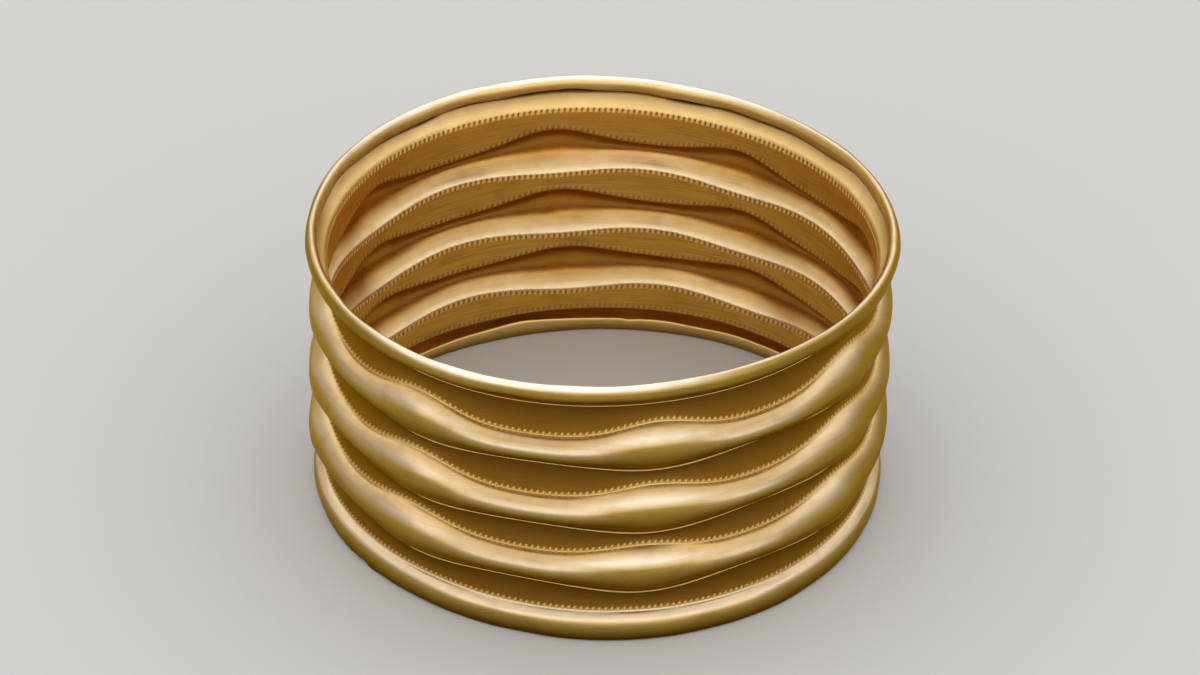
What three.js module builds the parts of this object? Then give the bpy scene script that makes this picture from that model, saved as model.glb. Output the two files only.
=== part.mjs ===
// A Bronze Age style forearm armlet in sheet gold, standing upright on its folded foot.
// The wall is one thin sheet. It goes round as four smooth flutes and three raised ribs. Each rib
// swells into eight long bosses, and both edges of the sheet are rolled into round rims.
// Millimetres, +Z up. Angles are degrees about Z, measured from -Y (the front) towards +X.
// The origin ends up at the centre of the bounding box's underside.
import * as THREE from "three";

// The sheet
const WALL = 0.4;
const FLUTE_RADIUS = 39.3;

// Heights of the bands, stacked from the foot up
const FOOT_BAND = 4.3;
const FLUTE_4 = 4.9;
const RIB_3 = 4.7;
const FLUTE_3 = 5.0;
const RIB_2 = 4.5;
const FLUTE_2 = 5.8;
const RIB_1 = 4.1;
const FLUTE_1 = 5.6;
const RIM_BAND = 4.1;

// Rolled edges: outer radius of the ring, then depth and height of the roll, which is an upright oval
const RIM_RADIUS = 42.0;
const RIM_DEPTH = 1.76;
const RIM_RISE = 2.5;
const FOOT_RADIUS = 40.9;
const FOOT_DEPTH = 2.0;
const FOOT_RISE = 3.8;

// Where the sheet runs round each roll, as angles in its section (0 = outwards, 90 = up)
const RIM_START = -60;
const RIM_LIP = 222;
const RIM_STEPS = 6;
const FOOT_FLAT = 36;
const FOOT_WEAR = 0.08;
const FOOT_LIP = 166;
const FOOT_END = 462;
const FOOT_STEPS = 3;

// How far the raw edge of each roll wanders, in degrees of its section
const LIP_WANDER = 7;
const LIP_WAVES = 5;

// Ribs and their bosses. A plain rib's section is a round hump. On a boss it has straight flanks, whose
// steepness is given, and a flat top; the last number says how crisply they turn over into it.
const RIB_PROJECTION = 2.1;
const BOSS_PROJECTION = 0.5;
const RIB_POINTS = 4;
const RIB_ROUNDNESS = 1.95;
const BOSS_FLANK = 1.9;
const BOSS_CRISPNESS = 4;
const BOSS_ANGLES = [12, 59, 104, 148, 190, 236, 281, 321];
const BOSS_TOP_WIDTH = 10.8;
const BOSS_FOOT_WIDTH = 15;
const BOSS_CREST_WIDTH = 6.5;

// For each rib, top one last: how far its bosses are turned, and how far they push its two borders
const RIB_3_BOSS = { turn: -3, rise: 1.4, dip: 1.6 };
const RIB_2_BOSS = { turn: -1, rise: 1.9, dip: 1.4 };
const RIB_1_BOSS = { turn: 0, rise: 2.3, dip: 1.3 };

// The ring isn't quite round: an oval of two lobes and one of three, at the rim and at the foot
const RIM_OVAL = { two: 0.36, twoTurn: 54, three: 0.47, threeTurn: -35 };
const FOOT_OVAL = { two: 0.4, twoTurn: 74, three: 0.54, threeTurn: 13 };

const COLUMNS = 70;

const HEIGHT = FOOT_BAND + FLUTE_4 + RIB_3 + FLUTE_3 + RIB_2 + FLUTE_2 + RIB_1 + FLUTE_1 + RIM_BAND;

const radians = THREE.MathUtils.degToRad;

// Shortest way round from one angle to another, in degrees
function turnBetween(from, to) {
  return ((to - from + 540) % 360 + 360) % 360 - 180;
}

// 1 on each boss, falling to 0 between bosses
function bossSwell(angle, turn, width) {
  const bells = BOSS_ANGLES.map((boss) => Math.exp(-((turnBetween(boss + turn, angle) / width) ** 2)));
  return bells.reduce((sum, bell) => sum + bell, 0);
}

// How far the ring's plan stands off a true circle at this angle and height
function planOffset(angle, z) {
  const lobes = ({ two, twoTurn, three, threeTurn }) =>
    two * Math.cos(2 * radians(angle - twoTurn)) + three * Math.cos(3 * radians(angle - threeTurn));
  const share = z / HEIGHT;
  return lobes(RIM_OVAL) * share + lobes(FOOT_OVAL) * (1 - share);
}

// Points on the sheet's middle line round an oval roll, as [radius, height]
function arc(roll, fromAngle, toAngle, steps) {
  const [halfDepth, halfRise] = [(roll.depth - WALL) / 2, (roll.rise - WALL) / 2];
  return Array.from({ length: steps + 1 }, (_, step) => {
    const angle = radians(fromAngle + ((toAngle - fromAngle) * step) / steps);
    return [roll.radius + halfDepth * Math.cos(angle), roll.height + halfRise * Math.sin(angle)];
  });
}

// Foot: the sheet comes from its raw edge inside, runs under the oval and up its outside to a ledge.
// The oval's underside dips just below z = 0, where the section is cut to a narrow standing flat.
function footRoll(angle) {
  const height = (FOOT_RISE / 2) * Math.cos(radians(FOOT_FLAT / 2)) - FOOT_WEAR;
  const roll = { radius: FOOT_RADIUS - FOOT_DEPTH / 2, height, depth: FOOT_DEPTH, rise: FOOT_RISE };
  const lip = FOOT_LIP + LIP_WANDER * Math.sin(LIP_WAVES * radians(angle));
  const inner = arc(roll, lip, 270 - FOOT_FLAT / 2, FOOT_STEPS);
  const outer = arc(roll, 270 + FOOT_FLAT / 2, FOOT_END, FOOT_STEPS);
  return [...inner, ...outer];
}

// Rim: the sheet flares out of the top flute, round the roll and back down inside to its raw edge
function rimRoll(angle) {
  const height = HEIGHT - RIM_RISE / 2;
  const roll = { radius: RIM_RADIUS - RIM_DEPTH / 2, height, depth: RIM_DEPTH, rise: RIM_RISE };
  const lip = RIM_LIP + LIP_WANDER * Math.sin((LIP_WAVES + 2) * radians(angle));
  return arc(roll, RIM_START, lip, RIM_STEPS);
}

// A rib between its two borders, pushed out of the flutes' surface
function rib(angle, lower, upper, boss) {
  const bottom = lower - boss.dip * bossSwell(angle, boss.turn, BOSS_FOOT_WIDTH);
  const top = upper + boss.rise * bossSwell(angle, boss.turn, BOSS_TOP_WIDTH);
  const swell = bossSwell(angle, boss.turn, BOSS_CREST_WIDTH);
  const projection = RIB_PROJECTION + BOSS_PROJECTION * swell;
  const flute = FLUTE_RADIUS - WALL / 2;
  const crest = Array.from({ length: RIB_POINTS }, (_, point) => {
    const across = Math.sin(((point + 1) / (RIB_POINTS + 1) - 0.5) * Math.PI);
    const flank = BOSS_FLANK * (1 - Math.abs(across));
    const flat = flank / (1 + flank ** BOSS_CRISPNESS) ** (1 / BOSS_CRISPNESS);
    const push = (1 - swell) * (1 - Math.abs(across) ** RIB_ROUNDNESS) + swell * flat;
    return [flute + projection * push, (bottom + top) / 2 + ((top - bottom) / 2) * across];
  });
  return [[flute, bottom], ...crest, [flute, top]];
}

// The sheet's middle line at one angle, from its raw edge at the foot to the one at the rim
function sheetLine(angle) {
  const flute = FLUTE_RADIUS - WALL / 2;
  const rib3 = FOOT_BAND + FLUTE_4;
  const rib2 = rib3 + RIB_3 + FLUTE_3;
  const rib1 = rib2 + RIB_2 + FLUTE_2;
  return [
    ...footRoll(angle),
    [flute, FOOT_BAND],
    ...rib(angle, rib3, rib3 + RIB_3, RIB_3_BOSS),
    ...rib(angle, rib2, rib2 + RIB_2, RIB_2_BOSS),
    ...rib(angle, rib1, rib1 + RIB_1, RIB_1_BOSS),
    [flute, rib1 + RIB_1 + FLUTE_1],
    ...rimRoll(angle),
  ];
}

// The section through the sheet: its outer face going up, then its inner face coming down
function sheetSection(angle) {
  const line = sheetLine(angle);
  const side = (distance) =>
    line.map(([radius, z], i) => {
      const [radiusBelow, zBelow] = line[Math.max(i - 1, 0)];
      const [radiusAbove, zAbove] = line[Math.min(i + 1, line.length - 1)];
      const length = Math.hypot(radiusAbove - radiusBelow, zAbove - zBelow);
      const outwards = (zAbove - zBelow) / length;
      const upwards = (radiusBelow - radiusAbove) / length;
      return [radius + distance * outwards, Math.max(z + distance * upwards, 0)];
    });
  return [...side(WALL / 2), ...side(-WALL / 2).reverse()];
}

// The whole ring as one closed surface, centred on its bounding box and standing at z = 0
function armletGeometry() {
  const positions = [];
  const faces = [];
  const rows = sheetSection(0).length;
  for (let column = 0; column < COLUMNS; column += 1) {
    const angle = (360 * column) / COLUMNS;
    for (const [radius, z] of sheetSection(angle)) {
      const reach = radius + planOffset(angle, z);
      positions.push(reach * Math.sin(radians(angle)), -reach * Math.cos(radians(angle)), z);
    }
  }
  for (let column = 0; column < COLUMNS; column += 1) {
    const here = column * rows;
    const next = ((column + 1) % COLUMNS) * rows;
    for (let row = 0; row < rows; row += 1) {
      const above = (row + 1) % rows;
      faces.push(here + row, next + row, next + above);
      faces.push(here + row, next + above, here + above);
    }
  }
  const geometry = new THREE.BufferGeometry();
  geometry.setAttribute("position", new THREE.Float32BufferAttribute(positions, 3));
  geometry.setIndex(faces);
  geometry.computeBoundingBox();
  const box = geometry.boundingBox;
  geometry.translate(-(box.min.x + box.max.x) / 2, -(box.min.y + box.max.y) / 2, -box.min.z);
  geometry.computeVertexNormals();
  return geometry;
}

const gold = new THREE.MeshStandardMaterial({ color: 0xd9a850, roughness: 0.28, metalness: 1.0 });

const armlet = new THREE.Mesh(armletGeometry(), gold);
armlet.name = "armlet";

const part = new THREE.Group();
part.add(armlet);

export default part;
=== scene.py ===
import math

import bpy
import numpy as np
from bpy.props import FloatProperty, FloatVectorProperty, PointerProperty
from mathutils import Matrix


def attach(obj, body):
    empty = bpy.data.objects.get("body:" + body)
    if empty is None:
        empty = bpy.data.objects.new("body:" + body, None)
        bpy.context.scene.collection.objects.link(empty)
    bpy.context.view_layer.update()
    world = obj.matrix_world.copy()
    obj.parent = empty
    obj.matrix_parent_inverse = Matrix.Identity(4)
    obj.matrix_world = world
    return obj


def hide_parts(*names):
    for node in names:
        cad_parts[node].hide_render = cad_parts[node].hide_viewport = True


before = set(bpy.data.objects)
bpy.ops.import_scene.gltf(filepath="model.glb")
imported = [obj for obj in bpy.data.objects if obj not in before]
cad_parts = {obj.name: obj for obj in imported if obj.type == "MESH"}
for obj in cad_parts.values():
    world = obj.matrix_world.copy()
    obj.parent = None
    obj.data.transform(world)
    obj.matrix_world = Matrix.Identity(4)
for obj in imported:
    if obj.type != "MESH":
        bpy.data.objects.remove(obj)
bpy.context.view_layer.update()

# A forearm armlet in sheet gold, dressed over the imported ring. The sheet starts as a flat grid, as real
# sheet does. Its border strips are cut finer for the punched dots, and then it is wrapped into the ring.
# Metres, +Z up. Angles are degrees about Z, measured from -Y (the front) towards +X.

bl_info = {
    "name": "Sheet-gold armlet",
    "version": (1, 0, 0),
    "blender": (4, 5, 0),
    "location": "3D View > Sidebar > Armlet",
    "description": "Models a ribbed armlet of sheet gold with rolled rims, bosses and punched dots",
    "category": "Add Mesh",
}

MM = 0.001
NODE = "armlet"

# Heights of the bands, stacked from the foot up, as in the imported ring
FOOT_BAND = 4.3 * MM
FLUTE_4 = 4.9 * MM
RIB_3 = 4.7 * MM
FLUTE_3 = 5.0 * MM
RIB_2 = 4.5 * MM
FLUTE_2 = 5.8 * MM
RIB_1 = 4.1 * MM
FLUTE_1 = 5.6 * MM
RIM_BAND = 4.1 * MM
RIB_3_FOOT = FOOT_BAND + FLUTE_4
RIB_2_FOOT = RIB_3_FOOT + RIB_3 + FLUTE_3
RIB_1_FOOT = RIB_2_FOOT + RIB_2 + FLUTE_2
RIM_LINE = RIB_1_FOOT + RIB_1 + FLUTE_1
HEIGHT = RIM_LINE + RIM_BAND

# Where the sheet runs round each roll, as angles in its section (0 = outwards, 90 = up), and how deep the
# foot's worn flat is
RIM_START = -60
RIM_LIP = 220
FOOT_FLAT = 36
FOOT_LIP = 167
FOOT_END = 436
FOOT_WEAR = 0.08 * MM

# The ribs' section. A plain rib is a round hump. A boss has straight flanks, whose steepness is given,
# and a flat top; the next number says how crisply they turn over into it. Then the bosses' places.
RIB_ROUNDNESS = 1.95
BOSS_FLANK = 1.9
BOSS_CRISPNESS = 4
BOSS_ANGLES = (12, 59, 104, 148, 190, 236, 281, 321)
BOSS_TOP_WIDTH = 10.8
BOSS_FOOT_WIDTH = 15
BOSS_CREST_WIDTH = 6.5

# For each rib: its foot, its height, how far its bosses are turned and how far they push its borders
RIBS = {
    3: (RIB_3_FOOT, RIB_3, -3, 1.4 * MM, 1.6 * MM),
    2: (RIB_2_FOOT, RIB_2, -1, 1.9 * MM, 1.4 * MM),
    1: (RIB_1_FOOT, RIB_1, 0, 2.3 * MM, 1.3 * MM),
}

# Lobes of the plan, as (lobes, size, turn): the ring isn't quite round
RIM_OVAL = ((2, 0.36 * MM, 54), (3, 0.47 * MM, -35))
FOOT_OVAL = ((2, 0.4 * MM, 74), (3, 0.54 * MM, 13))

# How the raw edges wander and the rim's roll swells, as (waves round the ring, size, start)
FOOT_LIP_WAVES = ((5, 5, 0.4), (8, 4, 2.0), (13, 3, 4.1), (23, 2, 1.0))
RIM_LIP_WAVES = ((3, 3, 1.0), (9, 7, 0.2), (14, 6, 3.0), (31, 5, 5.2))
RIM_WAVES = ((5, 0.03, 0.9), (11, 0.03, 2.0), (19, 0.03, 4.4))

# Numbers of the sheet's stretches, from the raw edge at the foot to the one at the rim. The ribs' are
# given for each rib.
FOOT_STRETCH = 0
FLANK_STRETCH = 1
FLUTE_STRETCHES = (2, 4, 6, 8)
RIB_STRETCHES = {3: 3, 2: 5, 1: 7}
RIM_STRETCH = 9
STRETCHES = 10

# The sheet's grid: one column for each punched dot, cut in three along the border strips. A strip is the
# same width all round, and takes the same share of its flute's stretch. The last two lines place a
# flute's other rows, and say how much of the rim's stretch flares out before it is rolled.
DOTS = 286
CUTS = 2
STRIP = 0.8 * MM
STRIP_SHARE = 0.25
FOOT_ROWS = 16
FLANK_ROWS = 3
RIB_ROWS = 10
RIM_ROWS = 20
FLUTE_ROWS = (0.5, 0.8)
FLARE_SHARE = 0.25

# The traced line lies at this share of each flute, just under the rib above, with rows beside it that
# are given in widths of the line
LINE_SHARE = 0.94
LINE_WIDTH = 0.022
LINE_ROWS = (-2.0, -0.8, 0.0, 0.8, 2.0)

# A dot's middle and its spread, as shares of the strip, along a flute's lower border and, on the inner
# face alone, along its upper one. Then how much the dots' heights vary.
LOW_DOT = (0.25, 0.38)
HIGH_DOT = (0.3, 0.36)
DOT_VARIETY = (0.6, 1.15)
DOT_SEED = 11

# Hammered waves, as (slant in degrees for each stretch of the sheet, waves), and how much of them the
# flutes keep
HAMMERED = (
    (9, ((11, 0.03 * MM, 0.3), (17, 0.025 * MM, 1.9), (29, 0.012 * MM, 4.0))),
    (-14, ((7, 0.03 * MM, 2.2), (23, 0.012 * MM, 0.7))),
)
FLUTE_HAMMERING = 0.4

# Dents and bulges that age left, as (angle, place along the sheet, half width in degrees, half length
# along the sheet, how far it stands out). The places count the sheet's stretches from the foot (0) up.
DENTS = (
    (191.5, 5.5, 1.5, 0.16, -0.3 * MM),
    (189.2, 5.52, 0.6, 0.07, -0.12 * MM),
    (214, 9.1, 1.6, 0.09, 0.35 * MM),
    (217.5, 9.13, 2.4, 0.06, -0.3 * MM),
    (85, 9.62, 1.8, 0.05, -0.16 * MM),
    (81, 9.66, 1.4, 0.05, -0.14 * MM),
    (-5, 9.52, 0.9, 0.03, -0.12 * MM),
    (194, 0.02, 1.3, 0.05, 0.22 * MM),
    (176, 0.03, 1.8, 0.06, -0.25 * MM),
    (173.5, 0.03, 1.2, 0.06, 0.25 * MM),
    (42, 0.68, 1.6, 0.08, -0.12 * MM),
    (-70, 0.75, 1.8, 0.07, -0.15 * MM),
    (18, 3.62, 2.6, 0.2, -0.14 * MM),
    (-33, 5.4, 3.2, 0.22, -0.12 * MM),
    (63, 7.45, 3.0, 0.2, -0.16 * MM),
)

# The part of the foot that is chipped and rough: its middle and half its width in degrees, where it lies
# along the foot's stretch, and the size of the grain
ROUGH_FOOT = (-57, 11)
ROUGH_BAND = (0.38, 0.76)
GRAIN = 0.13 * MM
GRAIN_SEED = 5

# Where the rim gets its palest painted highlight, front and back, as (angle, half its width)
RIM_HIGHLIGHTS = ((-12, 34), (188, 52))

# Up to where the foot's stretch is its lip, from where the rim's stretch lies inside the ring, and how
# wide in degrees a boss changes its rib's colours
FOOT_LIP_SHARE = 0.35
RIM_INSIDE_SHARE = 0.65
BOSS_COLOUR_WIDTH = 7

# How far the middle row of a raw edge stands past its end, as a share of the sheet's thickness
EDGE_BULGE = 0.3

# Gaps smaller than this share of a row are rounding, and seams closer than this length are joined
ROUNDING = 1e-4
SEAM = 0.002 * MM

# Small marks in the gold: pinkish stains, dark brush marks and dark grain
STAIN_COLOUR = (0.95, 0.6, 0.38)
BRUSH_COLOUR = (0.2, 0.1, 0.015)
GRAIN_COLOUR = (0.12, 0.05, 0.005)

# The points that the camera and the lights face, and how far the camera's frame is shifted up, in
# pixels of a frame of this width
TARGET = (-0.26 * MM, -0.12 * MM, 22 * MM)
LIGHT_TARGET = (0, 0, 0.02)
SENSOR_WIDTH = 36
FRAME_WIDTH = 1200
FRAME_SHIFT = 11.7


class ArmletSheet(bpy.types.PropertyGroup):
    """Sizes and colours of the gold sheet"""

    wall: FloatProperty(
        name="Sheet", description="Thickness of the gold sheet", default=0.4 * MM, unit="LENGTH"
    )
    flute_radius: FloatProperty(
        name="Flute radius", description="Outer radius of the flutes", default=39.3 * MM, unit="LENGTH"
    )
    rim_radius: FloatProperty(
        name="Rim radius", description="Outer radius of the rolled rim", default=42.0 * MM, unit="LENGTH"
    )
    rim_depth: FloatProperty(
        name="Rim depth", description="Depth of the oval roll at the rim", default=1.76 * MM, unit="LENGTH"
    )
    rim_rise: FloatProperty(
        name="Rim rise", description="Height of the oval roll at the rim", default=2.5 * MM, unit="LENGTH"
    )
    foot_radius: FloatProperty(
        name="Foot radius", description="Outer radius of the rolled foot", default=40.9 * MM, unit="LENGTH"
    )
    foot_depth: FloatProperty(
        name="Foot depth", description="Depth of the oval roll at the foot", default=2.0 * MM, unit="LENGTH"
    )
    foot_rise: FloatProperty(
        name="Foot rise", description="Height of the oval roll at the foot", default=4.0 * MM, unit="LENGTH"
    )
    rib_projection: FloatProperty(
        name="Rib", description="How far a rib stands out of the flutes", default=2.1 * MM, unit="LENGTH"
    )
    boss_projection: FloatProperty(
        name="Boss", description="How far a boss stands out of its rib", default=0.5 * MM, unit="LENGTH"
    )
    dot_height: FloatProperty(
        name="Dot", description="Height of a punched dot", default=0.34 * MM, unit="LENGTH"
    )
    line_height: FloatProperty(
        name="Traced line", description="Height of the traced lines", default=0.14 * MM, unit="LENGTH"
    )
    polished_colour: FloatVectorProperty(
        name="Polished gold", description="Colour of the ribs and rims", subtype="COLOR",
        default=(0.48, 0.315, 0.13),
    )
    # Painted dark reflection: the olive stands in for the dark surroundings that the undersides reflect
    underside_shade_colour: FloatVectorProperty(
        name="Undersides", description="Darker gold where the ribs and rims turn down outside",
        subtype="COLOR", default=(0.42, 0.27, 0.045),
    )
    # Painted shade in the upper half of the ribs' hollows inside
    hollow_shade_colour: FloatVectorProperty(
        name="Hollows", description="Orange gold in the upper half of the ribs' hollows inside",
        subtype="COLOR", default=(0.64, 0.31, 0.045),
    )
    # Painted dark reflection: the outer flutes are given a darker copy of the gold than the inner ones
    outer_flute_shaded_colour: FloatVectorProperty(
        name="Flute gold", description="Colour of the satin flutes outside", subtype="COLOR",
        default=(0.34, 0.165, 0.022),
    )
    # Painted light: the inner flutes are given a lighter copy of the same gold
    inner_flute_lit_colour: FloatVectorProperty(
        name="Inner gold", description="Colour of the satin flutes inside", subtype="COLOR",
        default=(0.8, 0.455, 0.08),
    )
    # Painted highlight on the rim's and foot's tops and the ribs' crests
    highlight_colour: FloatVectorProperty(
        name="Worn gold", description="Paler gold on the rim and the ribs' crests, polished by wear",
        subtype="COLOR", default=(1.0, 0.92, 0.76),
    )
    # Painted shade under the ribs and rims and at the top of the flutes
    shade_colour: FloatVectorProperty(
        name="Deep gold", description="Brown gold under the ribs and at the top of the flutes",
        subtype="COLOR", default=(0.1, 0.036, 0.001),
    )
    # Painted highlight on the dots, the traced lines, the lips and the raw edges
    glint_colour: FloatVectorProperty(
        name="Dots", description="Bright gold on the punched dots and the traced lines", subtype="COLOR",
        default=(1.0, 0.72, 0.27),
    )
    # Painted shade between the beads and in the pits
    pit_shade_colour: FloatVectorProperty(
        name="Pits", description="Dark gold between the beads and in the pits", subtype="COLOR",
        default=(0.18, 0.09, 0.01),
    )


class ArmletStage(bpy.types.PropertyGroup):
    """The floor, the light and the camera"""

    floor_colour: FloatVectorProperty(
        name="Floor", description="Colour of the plain floor", subtype="COLOR", default=(0.5, 0.49, 0.475)
    )
    light_power: FloatProperty(
        name="Light", description="Power of the softbox above, in watts", default=22.5
    )
    distance: FloatProperty(
        name="Distance", description="From the camera to the armlet", default=0.84, unit="LENGTH"
    )
    elevation: FloatProperty(
        name="Elevation", description="How steeply the camera looks down", default=math.radians(33.58),
        subtype="ANGLE",
    )
    lens: FloatProperty(name="Lens", description="Focal length, in millimetres", default=175.6)
    front_share: FloatProperty(
        name="Front light", description="Power of the softbox in front, as a share of the one above",
        default=0.62,
    )
    room_light: FloatProperty(
        name="Room light", description="Strength of the even light all round", default=0.7
    )


def turn_between(start, end):
    """Shortest way round from one angle to another, in degrees"""
    return (end - start + 540) % 360 - 180


def bell(value, middle, width):
    """1 at the middle, falling smoothly to 0 on both sides"""
    return np.exp(-(((value - middle) / width) ** 2))


def ease(value, low, high):
    """0 below low, 1 above high, smooth between"""
    t = np.clip((value - low) / (high - low), 0, 1)
    return t * t * (3 - 2 * t)


def boss_swell(angle, turn, width):
    """1 on each boss, falling to 0 between bosses"""
    return sum(bell(turn_between(boss + turn, angle), 0, width) for boss in BOSS_ANGLES)


def ripple(angle, waves):
    """A wave round the ring made of whole numbers of turns, each (turns, size, start)"""
    return sum(size * np.sin(turns * np.radians(angle) + start) for turns, size, start in waves)


def plan_offset(angle, z):
    """How far the ring's plan stands off a true circle at this angle and height"""
    share = z / HEIGHT
    offset = 0
    for lobes, weight in ((RIM_OVAL, share), (FOOT_OVAL, 1 - share)):
        for count, size, turn in lobes:
            offset = offset + weight * size * np.cos(count * np.radians(angle - turn))
    return offset


def stretch_of(along):
    """Number of the stretch that each place along the sheet lies in"""
    return np.minimum(along.astype(int), STRETCHES - 1)


class SheetLine:
    """The sheet's middle line at any angle, from the raw edge at the foot (0) to the one at the rim (10)"""

    def __init__(self, sizes):
        self.sizes = sizes
        self.middle = sizes.flute_radius - sizes.wall / 2

    def foot_roll(self, angle, u):
        """An upright oval, from the raw edge inside, under the foot and up to the ledge outside"""
        depth, rise = self.sizes.foot_depth / 2, self.sizes.foot_rise / 2
        lip = FOOT_LIP + ripple(angle, FOOT_LIP_WAVES)
        turn = np.radians(lip + (FOOT_END - lip) * u)
        radius = self.sizes.foot_radius - depth
        height = rise * math.cos(math.radians(FOOT_FLAT / 2)) - FOOT_WEAR
        half = self.sizes.wall / 2
        return radius + (depth - half) * np.cos(turn), height + (rise - half) * np.sin(turn)

    def foot_flank(self, angle, u):
        """The sloping flank from the ledge up to the lowest row of dots"""
        start = self.foot_roll(angle, np.ones_like(u))
        return start[0] + (self.middle - start[0]) * u, start[1] + (FOOT_BAND - start[1]) * u

    def borders(self, angle, number):
        """Heights of a rib's lower and upper borders"""
        foot, height, turn, rise, dip = RIBS[number]
        lower = foot - dip * boss_swell(angle, turn, BOSS_FOOT_WIDTH)
        return lower, foot + height + rise * boss_swell(angle, turn, BOSS_TOP_WIDTH)

    def rib(self, angle, u, number):
        """A rib, pushed out of the flutes' surface, with its bosses"""
        lower, upper = self.borders(angle, number)
        swell = boss_swell(angle, RIBS[number][2], BOSS_CREST_WIDTH)
        projection = self.sizes.rib_projection + self.sizes.boss_projection * swell
        across = np.sin((u - 0.5) * math.pi)
        flank = BOSS_FLANK * (1 - np.abs(across))
        flat = flank / (1 + flank ** BOSS_CRISPNESS) ** (1 / BOSS_CRISPNESS)
        push = (1 - swell) * (1 - np.abs(across) ** RIB_ROUNDNESS) + swell * flat
        return self.middle + projection * push, (lower + upper) / 2 + (upper - lower) / 2 * across

    def flute(self, angle, u, number):
        """A flute, with a strip of fixed width along each border for its dots and traced line"""
        lower = FOOT_BAND if number == 4 else self.borders(angle, number)[1]
        upper = RIM_LINE if number == 1 else self.borders(angle, number - 1)[0]
        low = STRIP * np.clip(u / STRIP_SHARE, 0, 1)
        high = STRIP * np.clip((u - 1 + STRIP_SHARE) / STRIP_SHARE, 0, 1)
        between = (upper - lower - 2 * STRIP) * np.clip((u - STRIP_SHARE) / (1 - 2 * STRIP_SHARE), 0, 1)
        return self.middle + 0 * u, lower + low + between + high

    def rim_roll(self, angle, u):
        """The sheet flares out of the top flute, then goes round the roll to its raw edge inside"""
        swell = 1 + ripple(angle, RIM_WAVES)
        depth, rise = self.sizes.rim_depth / 2 * swell, self.sizes.rim_rise / 2 * swell
        lip = RIM_LIP + ripple(angle, RIM_LIP_WAVES)
        round_roll = np.clip((u - FLARE_SHARE) / (1 - FLARE_SHARE), 0, 1)
        turn = np.radians(RIM_START + (lip - RIM_START) * round_roll)
        half = self.sizes.wall / 2
        radius = self.sizes.rim_radius - depth + (depth - half) * np.cos(turn)
        height = HEIGHT - rise + (rise - half) * np.sin(turn)
        flare = np.clip(u / FLARE_SHARE, 0, 1)
        return self.middle + (radius - self.middle) * flare, RIM_LINE + (height - RIM_LINE) * flare

    def __call__(self, angle, along):
        """Radius and height at each angle and place along the sheet"""
        stretch = stretch_of(along)
        makers = (
            self.foot_roll,
            self.foot_flank,
            lambda a, u: self.flute(a, u, 4),
            lambda a, u: self.rib(a, u, 3),
            lambda a, u: self.flute(a, u, 3),
            lambda a, u: self.rib(a, u, 2),
            lambda a, u: self.flute(a, u, 2),
            lambda a, u: self.rib(a, u, 1),
            lambda a, u: self.flute(a, u, 1),
            self.rim_roll,
        )
        radius, z = np.empty_like(along), np.empty_like(along)
        for number, maker in enumerate(makers):
            here = stretch == number
            radius[here], z[here] = maker(angle[here], along[here] - number)
        return radius, z


def stretch_rows(stretch, side):
    """The rows of one stretch, as (share of the stretch, is a dotted strip)"""
    if stretch not in FLUTE_STRETCHES:
        counts = {FOOT_STRETCH: FOOT_ROWS, FLANK_STRETCH: FLANK_ROWS, RIM_STRETCH: RIM_ROWS}
        count = counts.get(stretch, RIB_ROWS)
        return [(step / count, False) for step in range(count)]
    middle, upper = FLUTE_ROWS
    low = [(0, True), (STRIP_SHARE, False), (middle, False)]
    if side < 0:
        return low + [(1 - STRIP_SHARE, True)]
    return low + [(upper, False)] + [(LINE_SHARE + step * LINE_WIDTH, False) for step in LINE_ROWS]


def sheet_rows():
    """The rows of the flat sheet, once round its section: (place along the line, side, is a dotted strip).
    Side is 1 on the outer face and -1 on the inner one; the strip is the row of faces above each place."""
    outer, inner = [], []
    for stretch in range(STRETCHES):
        outer += [(stretch + share, 1, strip) for share, strip in stretch_rows(stretch, 1)]
        inner += [(stretch + share, -1, strip) for share, strip in stretch_rows(stretch, -1)]
    end = float(STRETCHES)
    inner.append((end, -1, False))
    # Down the inner face, a strip of faces lies below its place in the list, so its mark moves one on
    down = [(inner[i][0], -1, inner[i - 1][2]) for i in range(len(inner) - 1, 0, -1)] + [(0.0, -1, False)]
    return outer + [(end, 1, False), (end, 0, False)] + down + [(0.0, 0, False)]


def select_none():
    """Clears the selection, so that each operator acts on its own new object"""
    bpy.ops.object.select_all(action="DESELECT")


def flat_sheet(rows):
    """A flat grid with a row of faces for each row of the section, its dotted strips cut in three"""
    select_none()
    bpy.ops.mesh.primitive_grid_add(x_subdivisions=DOTS, y_subdivisions=len(rows), size=2)
    sheet = bpy.context.active_object
    mesh = sheet.data
    centres = np.empty(len(mesh.polygons) * 3)
    mesh.polygons.foreach_get("center", centres)
    row = np.floor((centres[1::3] + 1) / 2 * len(rows)).astype(int)
    dotted = np.array([strip for _, _, strip in rows])
    bpy.ops.object.mode_set(mode="EDIT")
    bpy.ops.mesh.select_mode(type="FACE")
    bpy.ops.mesh.select_all(action="DESELECT")
    bpy.ops.object.mode_set(mode="OBJECT")
    mesh.polygons.foreach_set("select", dotted[row])
    bpy.ops.object.mode_set(mode="EDIT")
    bpy.ops.mesh.subdivide(number_cuts=CUTS, quadcorner="INNERVERT")
    bpy.ops.object.mode_set(mode="OBJECT")
    return sheet


def read_places(sheet, rows):
    """Angle, place along the section's line and side (1, 0 or -1) of every vertex of the flat sheet"""
    flat = np.empty(len(sheet.data.vertices) * 3)
    sheet.data.vertices.foreach_get("co", flat)
    angle = (flat[0::3] + 1) * 180
    height = (flat[1::3] + 1) / 2 * len(rows)
    low = np.clip(np.floor(height + ROUNDING).astype(int), 0, len(rows))
    share = np.clip(height - low, 0, 1)
    share[share < ROUNDING] = 0
    places = np.array([(place, side) for place, side, _ in rows + rows[:1]])
    high = np.minimum(low + 1, len(rows))
    along = places[low, 0] * (1 - share) + places[high, 0] * share
    side = places[low, 1] * (1 - share) + places[high, 1] * share
    return angle, along, side


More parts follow.
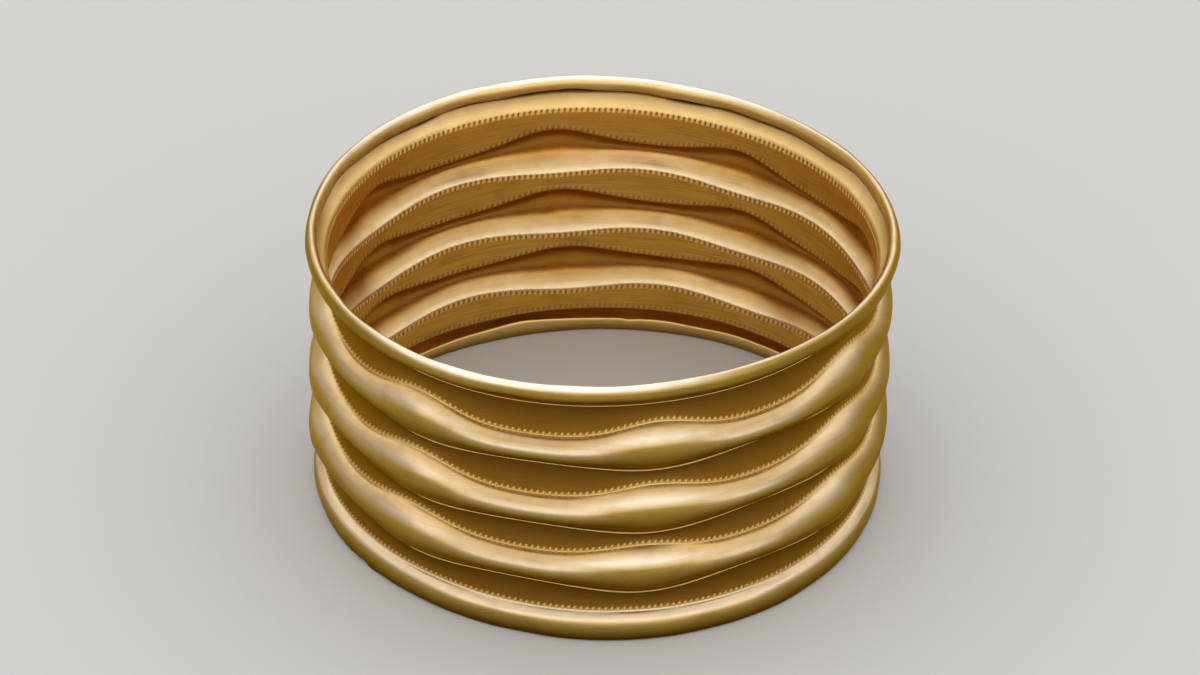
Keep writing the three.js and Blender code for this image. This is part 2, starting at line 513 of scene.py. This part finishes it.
def dot_relief(angle, along, side, height):
    """Dots punched from inside along every border of the flutes: beads outside, pits inside"""
    phase = angle / 360 * DOTS
    draw = np.random.default_rng(DOT_SEED).uniform(*DOT_VARIETY, (DOTS, 2 * len(FLUTE_STRETCHES)))
    number = np.round(phase).astype(int) % DOTS
    point = np.clip(np.cos(2 * math.pi * phase), 0, 1)
    relief = np.zeros_like(angle)
    for k, stretch in enumerate(FLUTE_STRETCHES):
        share = along - stretch
        low_share, high_share = share / STRIP_SHARE, (1 - share) / STRIP_SHARE
        low = bell(low_share, *LOW_DOT) * (share > 0) * (low_share < 1)
        high = bell(high_share, *HIGH_DOT) * (share < 1) * (high_share < 1) * (side < 0)
        relief += point * height * (low * draw[number, 2 * k] + high * draw[number, 2 * k + 1])
    return relief


def line_relief(along, side, height):
    """The traced line outside, just under the rim and under each rib"""
    relief = np.zeros_like(along)
    for stretch in FLUTE_STRETCHES:
        share = along - stretch
        relief += height * bell(share, LINE_SHARE, LINE_WIDTH) * (side > 0) * (share > 0) * (share < 1)
    return relief


def uneven_relief(angle, along):
    """The slight waves that hammering leaves, which die out at the borders of ribs and flutes"""
    waves = sum(ripple(angle + slant * along, waves) for slant, waves in HAMMERED)
    stretch = stretch_of(along)
    middle = np.sin(math.pi * np.clip(along - stretch, 0, 1))
    return waves * middle * np.where(np.isin(stretch, FLUTE_STRETCHES), FLUTE_HAMMERING, 1.0)


def dent_relief(angle, along):
    """Dents and bulges, and the grain of the chipped part of the foot"""
    relief = np.zeros_like(angle)
    for place, height, width, length, depth in DENTS:
        far = (turn_between(place, angle) / width) ** 2 + ((along - height) / length) ** 2
        relief += depth * np.exp(-far)
    middle, half_width = ROUGH_FOOT
    start, end = ROUGH_BAND
    rough = np.exp(-((turn_between(middle, angle) / half_width) ** 4)) * (along > start) * (along < end)
    grain = np.random.default_rng(GRAIN_SEED).uniform(-1, 1, (DOTS, FOOT_ROWS + 1))
    row = np.clip(np.round(along * FOOT_ROWS).astype(int), 0, FOOT_ROWS)
    return relief + GRAIN * rough * grain[np.round(angle / 360 * DOTS).astype(int) % DOTS, row]


def wrap_sheet(sheet, rows, sizes):
    """Lays the flat sheet on the ring's two faces, with its relief"""
    angle, along, side = read_places(sheet, rows)
    line = SheetLine(sizes)
    radius, z = line(angle, along)
    # Which way the sheet faces comes from its line a little below and above each place
    step = 0.02
    end = float(STRETCHES)
    below, above = line(angle, np.clip(along - step, 0, end)), line(angle, np.clip(along + step, 0, end))
    run = np.hypot(above[0] - below[0], above[1] - below[1])
    outwards, upwards = (above[1] - below[1]) / run, (below[0] - above[0]) / run
    relief = dot_relief(angle, along, side, sizes.dot_height) + line_relief(along, side, sizes.line_height)
    relief += uneven_relief(angle, along) + dent_relief(angle, along)
    push = side * sizes.wall / 2 + relief
    radius, z = radius + push * outwards, z + push * upwards
    # The middle row of each raw edge stands a little past its end, which rounds it
    edge = np.where(side == 0, sizes.wall * EDGE_BULGE, 0)
    ends = np.where(along > end / 2, 1, -1)
    radius, z = radius - edge * ends * upwards, z + edge * ends * outwards
    z = np.maximum(z, 0)
    reach = radius + plan_offset(angle, z)
    x, y = reach * np.sin(np.radians(angle)), -reach * np.cos(np.radians(angle))
    x, y = x - (x.min() + x.max()) / 2, y - (y.min() + y.max()) / 2
    sheet.data.vertices.foreach_set("co", np.column_stack((x, y, z)).ravel())
    sheet.data.update()
    return angle, along, side, upwards * side


class Places:
    """Where every vertex lies on the sheet, which side it is on, and how far it faces up (-1 to 1)"""

    def __init__(self, angle, along, side, upwards):
        stretch = stretch_of(along)
        # The row where a flute starts still belongs to the rib or the flank below
        stretch = stretch - (np.isin(stretch, FLUTE_STRETCHES) & (along == stretch))
        self.angle, self.side, self.upwards = angle, side, upwards
        self.share = along - stretch
        self.outer, self.inner = side > 0, side < 0
        self.satin = np.isin(stretch, FLUTE_STRETCHES)
        self.foot, self.flank, self.rim = (stretch == n for n in (FOOT_STRETCH, FLANK_STRETCH, RIM_STRETCH))
        self.rib = ~(self.satin | self.foot | self.flank | self.rim)
        self.lip = self.foot & (self.share < FOOT_LIP_SHARE)
        # Round the rim the sheet first flares, then goes over the roll and down its inside
        self.flare = np.clip(self.share / FLARE_SHARE, 0, 1)
        self.roll = self.rim & self.outer & (self.flare > 0.99)
        self.roll_inside = self.rim & (self.share > RIM_INSIDE_SHARE)
        self.rim_highlit = sum(np.exp(-((turn_between(place, angle) / width) ** 4)) for place, width in RIM_HIGHLIGHTS)
        # Inside a rib the orange painted shade of the hollow lies over a cream band of painted light along
        # the dots, and dips at each boss
        self.swell = np.zeros_like(angle)
        for number, (_, _, turn, _, _) in RIBS.items():
            self.swell += boss_swell(angle, turn, BOSS_COLOUR_WIDTH) * (stretch == RIB_STRETCHES[number])
        self.hollow = ease(self.share, 0.2 - 0.05 * self.swell, 0.62 - 0.15 * self.swell)
        # Seen from the front, the painted shade starts sooner towards the sheet's two sides, and most on
        # the right
        self.eastwards = np.sin(np.radians(angle))
        self.tilt = upwards - 0.3 * ease(self.eastwards, 0.5, 1.0) - 0.12 * ease(-self.eastwards, 0.7, 1.0)
        # Away from its painted highlights front and back, the rim gets painted shade except along its top
        self.rim_side_shade = (1 - self.rim_highlit) * (1 - ease(upwards, 0.75, 1.0))


def paint_underside_shade(at):
    """Painted shade where the gold turns down outside, standing in for dark reflections, and in the upper
    part of the hollows inside
    """
    under = np.where(at.outer, 1 - ease(at.tilt, 0.15, 0.65), at.hollow)
    under = np.where(at.foot & at.outer, 1 - ease(at.upwards, 0.0, 0.6), under)
    under = np.where(at.lip & at.outer, 1 - ease(at.upwards, -0.4, 0.0), under)
    rim = np.where(at.roll_inside, 0.6, 1) * (1 - ease(at.upwards, 0.0, 0.5))
    under = np.where(at.rim & at.outer, rim, under)
    return np.where(at.roll, np.clip(under + at.rim_side_shade, 0, 1), under)


def paint_shade(at):
    """Painted shade: under the ribs and rims, towards the top of each flute, in the hollows inside, and on
    the ribs' right side and the rim's sides
    """
    shade = at.satin * at.outer * 0.95 * ease(at.share, 0.05, 1.0)
    shade += at.rib * at.outer * (ease(-at.upwards, -0.3, 0.7) + 0.3 * ease(at.eastwards, 0.75, 0.97))
    fold = 0.8 * at.hollow * (1 - at.hollow) * (1 + 0.5 * at.swell)
    shade += at.rib * at.inner * (0.12 * ease(-at.upwards, 0.1, 0.8) + fold)
    rolled = np.where(at.roll_inside, 0.15, 1.0) * ease(-at.upwards, -0.1, 0.8)
    shade += at.rim * at.outer * np.where(at.flare < 1, 0.9, rolled)
    shade += at.rim * at.inner * np.where(at.flare < 1, 0.45, 0.2) * ease(at.flare, 0.25, 0.9)
    shade += at.foot * at.outer * ~at.lip * ease(-at.upwards, -0.25, 0.4)
    return np.clip(shade + at.roll * 0.35 * at.rim_side_shade, 0, 1)


def paint_highlights(at):
    """Painted highlights: the rim's top, palest front and back, the foot's top and flank, the crests of the
    ribs, and a band along the dots inside
    """
    pale = np.where(at.roll_inside, ease(at.upwards, 0.45, 0.8), ease(at.upwards, 0.35, 0.75))
    painted_highlight = at.roll * (pale * at.rim_highlit + 0.6 * (1 - at.rim_highlit) * ease(at.upwards, 0.9, 1.0))
    painted_highlight = painted_highlight + at.foot * at.outer * ~at.lip * 0.45 * ease(at.upwards, 0.4, 0.65)
    painted_highlight = painted_highlight + at.flank * at.outer * 0.25
    crest = ease(at.tilt, 0.35, 0.5) * (1 - ease(at.tilt, 0.6, 0.76))
    strength = (1 - 0.7 * np.abs(at.eastwards)) * (0.42 + 0.4 * at.swell)
    painted_highlight = painted_highlight + at.rib * at.outer * (strength * crest + 0.2 * ease(at.upwards, 0.78, 0.9))
    return np.clip(painted_highlight + at.rib * at.inner * 0.45 * (1 - ease(at.share, 0.0, 0.25)), 0, 1)


def paint_dots(at):
    """Painted highlights on the dots, the traced lines, the lips, the raw edges and beside the dots;
    painted shade in the pits and between the beads
    """
    from_border = np.minimum(at.share, 1 - at.share) / STRIP_SHARE
    strip = (from_border < 1) * at.satin
    low, high = strip * (at.share < 0.5), strip * (at.share > 0.5)
    point = np.clip(np.cos(2 * math.pi * at.angle / 360 * DOTS), 0, 1)
    between = 1 - point
    tooth = np.clip(1.15 - 0.55 * from_border, 0, 1) * (from_border < 0.9)
    gap = bell(from_border, 0.45, 0.4)

    painted_glint = low * at.outer * tooth * np.maximum(point, 0.6 * (from_border < 0.5))
    painted_glint += at.satin * at.outer * bell(at.share, LINE_SHARE, LINE_WIDTH)
    painted_glint += high * at.inner * tooth * between + 0.2 * low * at.inner * gap * between
    painted_glint += 0.45 * (at.foot | at.flank) * at.inner + 0.7 * at.lip * at.outer * ease(at.upwards, -0.25, 0.05)
    below_crest = (1 - ease(at.upwards, 0.3, 0.7)) * ease(at.upwards, -0.9, 0.1)
    painted_glint += 0.55 * at.roll_inside * at.outer * below_crest
    painted_glint += 0.3 * at.rib * at.inner * (1 - ease(at.share, 0.0, 0.25))
    painted_glint += 0.35 * at.rib * at.outer * ease(at.share, 0.7, 0.95)
    painted_glint += 0.4 * at.rim * at.inner * (1 - ease(at.flare, 0.1, 0.6)) + 0.8 * (at.side == 0)

    pit_shade = 0.3 * low * at.outer * gap * between
    pit_shade += 0.8 * high * at.inner * gap * point + 0.3 * low * at.inner * gap * point
    return painted_glint, pit_shade


def paint_sheet(sheet, angle, along, side, upwards):
    """Marks what the gold's finish depends on, such as satin flutes, undersides, painted shade, painted
    highlights and dots
    """
    places = Places(angle, along, side, upwards)
    painted_glint, pit_shade = paint_dots(places)
    marks = {
        "satin": places.satin,
        "inner": places.inner,
        "under": paint_underside_shade(places),
        "shade": paint_shade(places),
        "painted_highlight": paint_highlights(places),
        "painted_glint": painted_glint,
        "pit_shade": pit_shade,
    }
    for name, values in marks.items():
        mark = sheet.data.attributes.new(name, "FLOAT", "POINT")
        mark.data.foreach_set("value", values.astype(np.float32))


def close_sheet(sheet):
    """Joins the seams that the wrapping brought together"""
    bpy.ops.object.mode_set(mode="EDIT")
    bpy.ops.mesh.select_mode(type="VERT")
    bpy.ops.mesh.select_all(action="SELECT")
    bpy.ops.mesh.remove_doubles(threshold=SEAM)
    bpy.ops.mesh.normals_make_consistent(inside=False)
    bpy.ops.object.mode_set(mode="OBJECT")
    bpy.ops.object.shade_smooth()


class Nodes:
    """Short calls for building a node tree"""

    def __init__(self, material):
        material.use_nodes = True
        self.tree = material.node_tree
        self.tree.nodes.clear()

    def add(self, kind, **settings):
        node = self.tree.nodes.new(kind)
        for name, value in settings.items():
            setattr(node, name, value)
        return node

    def link(self, source, target):
        self.tree.links.new(source, target)

    def put(self, socket, value):
        if isinstance(value, bpy.types.NodeSocket):
            self.link(value, socket)
        else:
            socket.default_value = value

    def math(self, operation, a, b=0.0):
        node = self.add("ShaderNodeMath", operation=operation)
        self.put(node.inputs[0], a)
        self.put(node.inputs[1], b)
        return node.outputs[0]

    def mix(self, share, a, b):
        node = self.add("ShaderNodeMix", data_type="RGBA")
        self.put(node.inputs["Factor"], share)
        self.put(node.inputs[6], a if isinstance(a, bpy.types.NodeSocket) else (*a, 1))
        self.put(node.inputs[7], b if isinstance(b, bpy.types.NodeSocket) else (*b, 1))
        return node.outputs[2]

    def noise(self, places, stretch, scale, detail=3.0):
        mapping = self.add("ShaderNodeMapping")
        mapping.inputs["Scale"].default_value = stretch
        self.link(places, mapping.inputs["Vector"])
        node = self.add("ShaderNodeTexNoise")
        self.link(mapping.outputs[0], node.inputs["Vector"])
        node.inputs["Scale"].default_value = scale
        node.inputs["Detail"].default_value = detail
        return node.outputs["Fac"]

    def spread(self, value, low, high, to_low=0.0, to_high=1.0):
        node = self.add("ShaderNodeMapRange")
        self.put(node.inputs["Value"], value)
        limits = {"From Min": low, "From Max": high, "To Min": to_low, "To Max": to_high}
        for name, number in limits.items():
            node.inputs[name].default_value = number
        return node.outputs[0]

    def attribute(self, name):
        return self.add("ShaderNodeAttribute", attribute_name=name).outputs["Fac"]


def gold_material(sizes):
    """Gold: polished ribs and rims, satin flutes brushed round the ring, with faint stains and grain, and
    the painted shade and highlights that the sheet's marks carry
    """
    material = bpy.data.materials.new("gold")
    n = Nodes(material)
    places = n.add("ShaderNodeTexCoord").outputs["Object"]
    shader = n.add("ShaderNodeBsdfPrincipled")
    output = n.add("ShaderNodeOutputMaterial")
    n.link(shader.outputs[0], output.inputs[0])
    shader.inputs["Metallic"].default_value = 1.0
    shader.inputs["Specular Tint"].default_value = (1.0, 0.78, 0.42, 1)

    satin, inner, under = (n.attribute(name) for name in ("satin", "inner", "under"))
    brushed = n.noise(places, (1, 1, 45), 110, 5)
    stains = n.noise(places, (1, 1, 1), 55, 4)
    fine = n.noise(places, (1, 1, 1), 700, 2)
    grain = n.noise(places, (1, 1, 2), 260, 6)

    # Painted light and shade: a darker gold for the outer flutes and undersides, a lighter one inside, and
    # orange painted shade in the hollows
    flute = n.mix(inner, tuple(sizes.outer_flute_shaded_colour), tuple(sizes.inner_flute_lit_colour))
    turned_down = n.mix(inner, tuple(sizes.underside_shade_colour), tuple(sizes.hollow_shade_colour))
    rounded = n.mix(under, tuple(sizes.polished_colour), turned_down)
    plain = n.mix(satin, rounded, flute)
    # Painted highlights, then painted shade over them
    painted_highlight = n.mix(n.attribute("painted_highlight"), plain, tuple(sizes.highlight_colour))
    base = n.mix(n.attribute("shade"), painted_highlight, tuple(sizes.shade_colour))
    stained = n.mix(n.spread(stains, 0.5, 0.75, 0, 0.3), base, n.mix(under, STAIN_COLOUR, base))
    streak = n.math("MULTIPLY", n.spread(brushed, 0.4, 0.7, 0, 0.36), n.spread(satin, 0, 1, 0.35, 1))
    streaked = n.mix(streak, stained, BRUSH_COLOUR)
    grained = n.mix(n.spread(grain, 0.5, 0.75, 0, 0.3), streaked, n.mix(0.6, streaked, GRAIN_COLOUR))
    # Painted highlights on the dots, lines, lips and raw edges, then painted shade in the pits
    beaded = n.mix(n.attribute("painted_glint"), grained, tuple(sizes.glint_colour))
    pitted = n.mix(n.attribute("pit_shade"), beaded, tuple(sizes.pit_shade_colour))
    n.link(pitted, shader.inputs["Base Color"])

    polished_rough = n.spread(fine, 0.3, 0.7, 0.27, 0.36)
    satin_rough = n.spread(brushed, 0.3, 0.7, 0.36, 0.5)
    rough = n.add("ShaderNodeMix", data_type="FLOAT")
    n.link(satin, rough.inputs["Factor"])
    n.link(polished_rough, rough.inputs[2])
    n.link(satin_rough, rough.inputs[3])
    # The dots and the lines are matt, so they stay pale from every side
    soft_marks = n.math("MULTIPLY", n.attribute("painted_glint"), 0.25)
    n.link(n.math("ADD", rough.outputs[0], soft_marks), shader.inputs["Roughness"])

    bump = n.add("ShaderNodeBump")
    bump.inputs["Strength"].default_value = 0.15
    bump.inputs["Distance"].default_value = 0.02 * MM
    height = n.math("ADD", n.math("MULTIPLY", brushed, satin), n.math("MULTIPLY", fine, 0.4))
    n.link(height, bump.inputs["Height"])
    n.link(bump.outputs[0], shader.inputs["Normal"])
    return material


class ARMLET_OT_sheet(bpy.types.Operator):
    """Model the ribbed gold sheet with its rolled rims, bosses and punched dots"""

    bl_idname = "armlet.sheet"
    bl_label = "Gold sheet"
    bl_options = {"REGISTER", "UNDO"}

    def execute(self, context):
        sizes = context.scene.armlet_sheet
        rows = sheet_rows()
        sheet = flat_sheet(rows)
        paint_sheet(sheet, *wrap_sheet(sheet, rows, sizes))
        close_sheet(sheet)
        sheet.name = "gold_sheet"
        sheet.data.materials.append(gold_material(sizes))
        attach(sheet, "root")
        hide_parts(NODE)
        return {"FINISHED"}


def soft_light(name, place, size, power):
    """A softbox that faces the armlet; its size is its width and its height"""
    bpy.ops.object.light_add(type="AREA", location=place)
    light = bpy.context.active_object
    light.name = name
    light.data.shape = "RECTANGLE"
    light.data.size, light.data.size_y = size
    light.data.energy = power
    away = np.array(place) - np.array(LIGHT_TARGET)
    lean = math.atan2(math.hypot(away[0], away[1]), away[2])
    light.rotation_euler = (lean, 0, math.atan2(away[0], -away[1]))


class ARMLET_OT_stage(bpy.types.Operator):
    """Add the plain floor, the soft lights and the camera"""

    bl_idname = "armlet.stage"
    bl_label = "Stage"
    bl_options = {"REGISTER", "UNDO"}

    def execute(self, context):
        stage = context.scene.armlet_stage
        select_none()
        bpy.ops.mesh.primitive_plane_add(size=4, location=(0, 0, 0))
        floor = context.active_object
        floor.name = "floor"
        plain = bpy.data.materials.new("floor_paint")
        plain.use_nodes = True
        shader = plain.node_tree.nodes["Principled BSDF"]
        shader.inputs["Base Color"].default_value = (*stage.floor_colour, 1)
        shader.inputs["Roughness"].default_value = 0.9
        floor.data.materials.append(plain)
        soft_light("softbox_above", (0, 0.15, 0.95), (3.8, 2.8), stage.light_power)
        soft_light("softbox_front", (0, -1.3, 0.6), (5.4, 0.95), stage.light_power * stage.front_share)
        world = bpy.data.worlds.new("studio")
        world.use_nodes = True
        background = world.node_tree.nodes["Background"]
        background.inputs["Color"].default_value = (1, 1, 1, 1)
        background.inputs["Strength"].default_value = stage.room_light
        context.scene.world = world
        context.scene.view_settings.view_transform = "Standard"
        self.add_camera(context, stage)
        return {"FINISHED"}

    def add_camera(self, context, stage):
        """The camera in front and above, at the photo's angle"""
        reach = stage.distance * math.cos(stage.elevation)
        rise = stage.distance * math.sin(stage.elevation)
        place = (TARGET[0], TARGET[1] - reach, TARGET[2] + rise)
        bpy.ops.object.camera_add(location=place, rotation=(math.pi / 2 - stage.elevation, 0, 0))
        camera = context.active_object
        camera.data.lens = stage.lens
        camera.data.sensor_width = SENSOR_WIDTH
        camera.data.shift_y = FRAME_SHIFT / FRAME_WIDTH
        camera.data.clip_end = 20
        context.scene.camera = camera


class ARMLET_PT_panel(bpy.types.Panel):
    """Lists the armlet's sizes and its pieces"""

    bl_label = "Armlet"
    bl_idname = "ARMLET_PT_panel"
    bl_space_type = "VIEW_3D"
    bl_region_type = "UI"
    bl_category = "Armlet"

    def draw(self, context):
        for settings in (context.scene.armlet_sheet, context.scene.armlet_stage):
            for name in settings.__annotations__:
                self.layout.prop(settings, name)
        self.layout.operator("armlet.sheet")
        self.layout.operator("armlet.stage")


CLASSES = (ArmletSheet, ArmletStage, ARMLET_OT_sheet, ARMLET_OT_stage, ARMLET_PT_panel)


def register():
    for cls in CLASSES:
        bpy.utils.register_class(cls)
    bpy.types.Scene.armlet_sheet = PointerProperty(type=ArmletSheet)
    bpy.types.Scene.armlet_stage = PointerProperty(type=ArmletStage)


def unregister():
    del bpy.types.Scene.armlet_stage
    del bpy.types.Scene.armlet_sheet
    for cls in reversed(CLASSES):
        bpy.utils.unregister_class(cls)


def main():
    register()
    bpy.ops.armlet.sheet()
    bpy.ops.armlet.stage()


if __name__ == "__main__":
    main()
